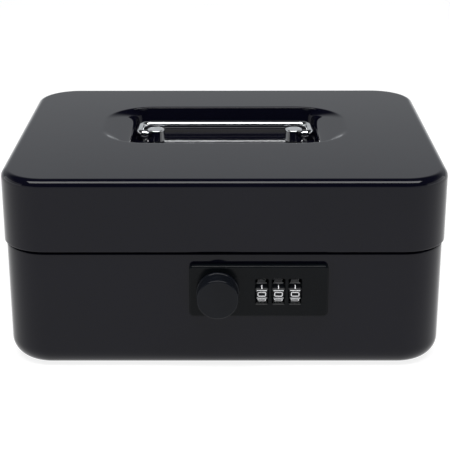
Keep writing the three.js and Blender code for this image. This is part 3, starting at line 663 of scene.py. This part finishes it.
class Look:
    """A small builder for a principled material and its procedural detail."""

    def __init__(self, name, colour, roughness, metallic=0.0, ior=1.45):
        self.material = bpy.data.materials.new(name)
        self.material.use_nodes = True
        self.tree = self.material.node_tree
        self.shader = next(n for n in self.tree.nodes if n.type == "BSDF_PRINCIPLED")
        self.place = self.tree.nodes.new("ShaderNodeTexCoord").outputs["Object"]
        self.shader.inputs["Base Color"].default_value = (*colour, 1)
        self.shader.inputs["Roughness"].default_value = roughness
        self.shader.inputs["Metallic"].default_value = metallic
        self.shader.inputs["IOR"].default_value = ior
        self.bumps = []

    def noise(self, size_mm, detail=3.0, stretch=(1, 1, 1)):
        """Noise whose features are about a size across."""
        mapping = self.tree.nodes.new("ShaderNodeMapping")
        mapping.inputs["Scale"].default_value = stretch
        self.tree.links.new(self.place, mapping.inputs["Vector"])
        node = self.tree.nodes.new("ShaderNodeTexNoise")
        node.inputs["Scale"].default_value = 1 / (size_mm * MM)
        node.inputs["Detail"].default_value = detail
        self.tree.links.new(mapping.outputs["Vector"], node.inputs["Vector"])
        return node.outputs["Fac"]

    def ranged(self, value, low, high, out_low, out_high):
        """Maps a value from one range to another, held at its ends."""
        node = self.tree.nodes.new("ShaderNodeMapRange")
        keys = ("From Min", "From Max", "To Min", "To Max")
        for key, number in zip(keys, (low, high, out_low, out_high)):
            node.inputs[key].default_value = number
        self.tree.links.new(value, node.inputs["Value"])
        return node.outputs["Result"]

    def mixed(self, share, first, second):
        """Blends two colours; a colour is three numbers or another node's output."""
        node = self.tree.nodes.new("ShaderNodeMix")
        node.data_type = "RGBA"
        self.tree.links.new(share, node.inputs[0])
        for socket, value in ((node.inputs[6], first), (node.inputs[7], second)):
            if isinstance(value, tuple):
                socket.default_value = (*value, 1)
            else:
                self.tree.links.new(value, socket)
        return node.outputs[2]

    def link(self, value, name):
        """Feeds one of the shader's inputs from another node."""
        self.tree.links.new(value, self.shader.inputs[name])

    def bump(self, height, depth_mm):
        """Adds a relief of a real depth."""
        node = self.tree.nodes.new("ShaderNodeBump")
        node.inputs["Strength"].default_value = 1.0
        node.inputs["Distance"].default_value = depth_mm * MM
        self.tree.links.new(height, node.inputs["Height"])
        if self.bumps:
            self.tree.links.new(self.bumps[-1], node.inputs["Normal"])
        self.bumps.append(node.outputs["Normal"])
        self.tree.links.new(node.outputs["Normal"], self.shader.inputs["Normal"])


def gloss_black():
    """Black powder coat: faint orange peel, hazy patches and a slightly uneven tone."""
    look = Look("gloss_black_paint", (0.0035, 0.0035, 0.0045), 0.07, ior=1.29)
    haze = look.ranged(look.noise(38, 4), 0.3, 0.75, 0.05, 0.1)
    look.link(haze, "Roughness")
    tone = look.ranged(look.noise(60, 2), 0.3, 0.7, 0, 1)
    look.link(look.mixed(tone, (0.0018, 0.0019, 0.0052), (0.0026, 0.0026, 0.0064)), "Base Color")
    look.bump(look.noise(2.6, 2), 0.0035)
    look.bump(look.noise(26, 2), 0.02)
    return look.material


def moulded(name, colour, roughness, grain_mm, depth, ior=1.46):
    """Moulded plastic with a fine grain."""
    look = Look(name, colour, roughness, ior=ior)
    rough = look.ranged(look.noise(9, 4), 0.3, 0.7, roughness * 0.85, roughness * 1.15)
    look.link(rough, "Roughness")
    lighter = tuple(c * 1.35 for c in colour)
    patches = look.ranged(look.noise(14, 3), 0.35, 0.7, 0, 1)
    look.link(look.mixed(patches, colour, lighter), "Base Color")
    look.bump(look.noise(grain_mm, 2), depth)
    return look.material


def metal(name, colour, roughness, brush, grain_mm, depth):
    """Bare or plated metal with a fine directional grain."""
    look = Look(name, colour, roughness, metallic=1.0)
    grain = look.noise(grain_mm, 3, brush)
    look.link(look.ranged(grain, 0.3, 0.7, roughness * 0.8, roughness * 1.3), "Roughness")
    darker = tuple(c * 0.86 for c in colour)
    patches = look.ranged(look.noise(7, 4), 0.35, 0.7, 0, 1)
    look.link(look.mixed(patches, colour, darker), "Base Color")
    look.bump(grain, depth)
    return look.material


def ink(name, worn, fresh):
    """Slightly uneven filling paint."""
    look = Look(name, fresh, 0.35)
    patches = look.ranged(look.noise(0.6, 3), 0.35, 0.65, 0, 1)
    look.link(look.mixed(patches, worn, fresh), "Base Color")
    look.bump(look.noise(0.25, 2), 0.01)
    return look.material


MATERIALS = {
    "gloss_black": gloss_black(),
    "black_plastic": moulded("satin_black_plastic", (0.0018, 0.0024, 0.0032), 0.16, 0.3,
                             0.0015, 1.2),
    "knob_plastic": moulded("knob_black_plastic", (0.0045, 0.0052, 0.0072), 0.18, 0.3,
                            0.0015, 1.23),
    "dial_plastic": moulded("dial_black_plastic", (0.0025, 0.003, 0.004), 0.2, 0.25,
                            0.002, 1.24),
    "tray_plastic": moulded("tray_black_plastic", (0.014, 0.014, 0.016), 0.48, 0.35, 0.012),
    "housing_plastic": moulded("housing_grey_plastic", (0.022, 0.023, 0.025), 0.5, 0.35, 0.01),
    "chrome": metal("bright_chrome", (0.78, 0.79, 0.8), 0.05, (1, 1, 1), 1.5, 0.0006),
    "zinc_steel": metal("zinc_plated_steel", (0.52, 0.53, 0.54), 0.27, (1, 1, 6), 0.35, 0.003),
    "spring_steel": metal("spring_steel", (0.35, 0.36, 0.37), 0.3, (4, 1, 1), 0.3, 0.002),
    "brass": metal("turned_brass", (0.62, 0.46, 0.2), 0.25, (6, 1, 1), 0.3, 0.002),
    "digit_ink": ink("white_digit_ink", (0.7, 0.7, 0.72), (0.86, 0.86, 0.87)),
    # The rib crests' pale colour is partly real paint and partly a painted highlight of the glossy
    # ribs.
    "crest_paint_and_highlight": ink("pale_crest_paint_and_painted_highlight", (0.66, 0.67, 0.69), (0.78, 0.79, 0.8)),
}


def dress(piece, material):
    """Gives a piece one material."""
    piece.data.materials.clear()
    piece.data.materials.append(MATERIALS[material])
    return piece


def put(piece, body, slot, replaces=(), material=None):
    """Dresses a finished piece in its slot's material unless another is given, and lets it ride on
    its body.
    """
    dress(piece, material or slot)
    if replaces:
        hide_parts(*replaces)
    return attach(piece, body)


# ---------------------------------------------------------------- camera, light and stage


CAMERA_ELEVATION, CAMERA_AZIMUTH, CAMERA_ROLL = 19.951, 0.275, 0.131
CAMERA_DISTANCE, CAMERA_AIM = 0.6434, Vector((0, 0, 0.045))
CAMERA_LENS, CAMERA_SENSOR, CAMERA_SHIFT_Y = 102.38, 36, -0.0205

OVERHEAD_SIZE, OVERHEAD_PLACE, OVERHEAD_RADIANCE = (1.5, 0.5), (0, -0.34, 1.15), 9.0
PANEL_SIZE, PANEL_X, PANEL_Z, PANEL_RADIANCE = (2.2, 0.8), 1.7, 0.4, 0.8

SURROUND_PALE, SURROUND_DARK = 0.53, 0.02
SURROUND_TOP, SURROUND_BACK = (0.68, 0.3), (-0.15, 0.35)
HORIZON_PALE, HORIZON_FADE = 0.95, (0.17, 0.1)
FLOOR_HALF, FLOOR_GLOW = 6.0, 0.86


def add_camera():
    """The photograph's camera: a long lens a little above the box, square to its front."""
    angles = (CAMERA_ELEVATION, CAMERA_AZIMUTH, CAMERA_ROLL)
    elevation, azimuth, roll = (math.radians(a) for a in angles)
    back = Vector((math.sin(azimuth) * math.cos(elevation),
                   -math.cos(azimuth) * math.cos(elevation), math.sin(elevation)))
    camera = bpy.data.objects.new("camera", bpy.data.cameras.new("camera"))
    bpy.context.scene.collection.objects.link(camera)
    camera.location = CAMERA_AIM + back * CAMERA_DISTANCE
    look = (CAMERA_AIM - camera.location).to_track_quat("-Z", "Y").to_matrix().to_4x4()
    camera.rotation_euler = (look @ Matrix.Rotation(-roll, 4, "Z")).to_euler()
    camera.data.lens = CAMERA_LENS
    camera.data.sensor_width = CAMERA_SENSOR
    camera.data.shift_y = CAMERA_SHIFT_Y
    bpy.context.scene.camera = camera


def area_light(name, place, target, size, radiance):
    """A soft rectangular light of a given radiance, hidden from the camera."""
    data = bpy.data.lights.new(name, "AREA")
    data.shape = "RECTANGLE"
    data.size, data.size_y = size
    data.energy = radiance * math.pi * size[0] * size[1]
    light = bpy.data.objects.new(name, data)
    bpy.context.scene.collection.objects.link(light)
    light.location = place
    light.rotation_euler = (Vector(target) - Vector(place)).to_track_quat("-Z", "Y").to_euler()
    light.visible_camera = False


def add_lights():
    """A softbox above and before the box, pale panels beside it, and a soft surround."""
    area_light("overhead_softbox", OVERHEAD_PLACE, (0, 0, 0.05), OVERHEAD_SIZE, OVERHEAD_RADIANCE)
    for sign in (-1, 1):
        area_light("side_panel", (sign * PANEL_X, 0.1, PANEL_Z), (0, 0.1, PANEL_Z), PANEL_SIZE,
                   PANEL_RADIANCE)
    add_surround()


def math_node(tree, operation, *values):
    """A math node fed by other nodes' outputs or plain numbers."""
    node = tree.nodes.new("ShaderNodeMath")
    node.operation = operation
    for value, socket in zip(values, node.inputs):
        if isinstance(value, (int, float)):
            socket.default_value = value
        else:
            tree.links.new(value, socket)
    return node.outputs[0]


def fade(tree, value, start, end):
    """0 at the start and 1 at the end, eased at both."""
    ramp = tree.nodes.new("ShaderNodeMapRange")
    ramp.interpolation_type = "SMOOTHSTEP"
    ramp.inputs["From Min"].default_value = start
    ramp.inputs["From Max"].default_value = end
    tree.links.new(value, ramp.inputs["Value"])
    return ramp.outputs["Result"]


def add_surround():
    """A surround that is pale behind the box and along the horizon, and dark elsewhere."""
    world = bpy.data.worlds.new("surround")
    bpy.context.scene.world = world
    world.use_nodes = True
    tree = world.node_tree
    background = next(n for n in tree.nodes if n.type == "BACKGROUND")
    direction = tree.nodes.new("ShaderNodeSeparateXYZ")
    tree.links.new(tree.nodes.new("ShaderNodeTexCoord").outputs["Generated"], direction.inputs[0])
    height, depth = direction.outputs["Z"], direction.outputs["Y"]
    behind = math_node(tree, "MULTIPLY", fade(tree, height, *SURROUND_TOP),
                       fade(tree, depth, *SURROUND_BACK))
    behind = math_node(tree, "MULTIPLY_ADD", behind, SURROUND_PALE, SURROUND_DARK)
    horizon = math_node(tree, "MULTIPLY", fade(tree, height, *HORIZON_FADE), HORIZON_PALE)
    tree.links.new(math_node(tree, "MAXIMUM", behind, horizon), background.inputs["Strength"])
    background.inputs["Color"].default_value = (0.94, 0.97, 1.0, 1)


def add_floor():
    """A plain pale floor, bright mostly by its own glow, which stands for a lit paper sweep."""
    mesh = bpy.data.meshes.new("floor")
    corners = ((-1, -1), (1, -1), (1, 1), (-1, 1))
    mesh.from_pydata([(x * FLOOR_HALF, y * FLOOR_HALF, 0) for x, y in corners], [], [(0, 1, 2, 3)])
    floor = new_piece("floor", mesh)
    look = Look("pale_floor", (0.22, 0.22, 0.22), 0.9)
    patches = look.ranged(look.noise(90, 3), 0.3, 0.7, 0, 1)
    look.link(look.mixed(patches, (0.21, 0.21, 0.21), (0.23, 0.23, 0.23)), "Base Color")
    look.shader.inputs["Emission Color"].default_value = (1, 1, 1, 1)
    look.shader.inputs["Emission Strength"].default_value = FLOOR_GLOW
    floor.data.materials.append(look.material)


# ---------------------------------------------------------------- assembly


def carried_over():
    """Dresses every CAD node that stays, and shades it smooth between its sharp edges."""
    slots = {row["node"]: row["material_slot"] for row in frame["record"]["subparts"]}
    for name, node in frame["nodes"].items():
        if not node.hide_render:
            smooth(dress(node, slots[name]), 30)


add_camera()
bpy.context.scene.view_settings.view_transform = "Standard"
put(body_shell(), "box_base", "gloss_black", ["body_shell"])
put(lid_shell(), "lid", "gloss_black", ["lid_shell"])
put(handle_bail(), "bail", "chrome", ["handle_bail"])
for side in SIDES:
    put(handle_post(side), "lid", "chrome", [f"handle_post_{side}"])
put(lock_faceplate(), "box_base", "black_plastic", ["lock_faceplate"])
put(knob(), "knob_shaft", "black_plastic", ["knob"], "knob_plastic")
for name in DIALS:
    put(dial_wheel(name), f"dial_set_{name}", "dial_plastic", [f"dial_{name}"])
    put(dial_digits(name), f"dial_set_{name}", "dial_plastic", material="digit_ink")
    # Pale crest strips: partly paint, partly a painted highlight.
    put(dial_crests(name), f"dial_set_{name}", "dial_plastic", material="crest_paint_and_highlight")
    put(dial_collar(name), f"dial_set_{name}", "dial_plastic")
carried_over()
add_floor()
add_lights()
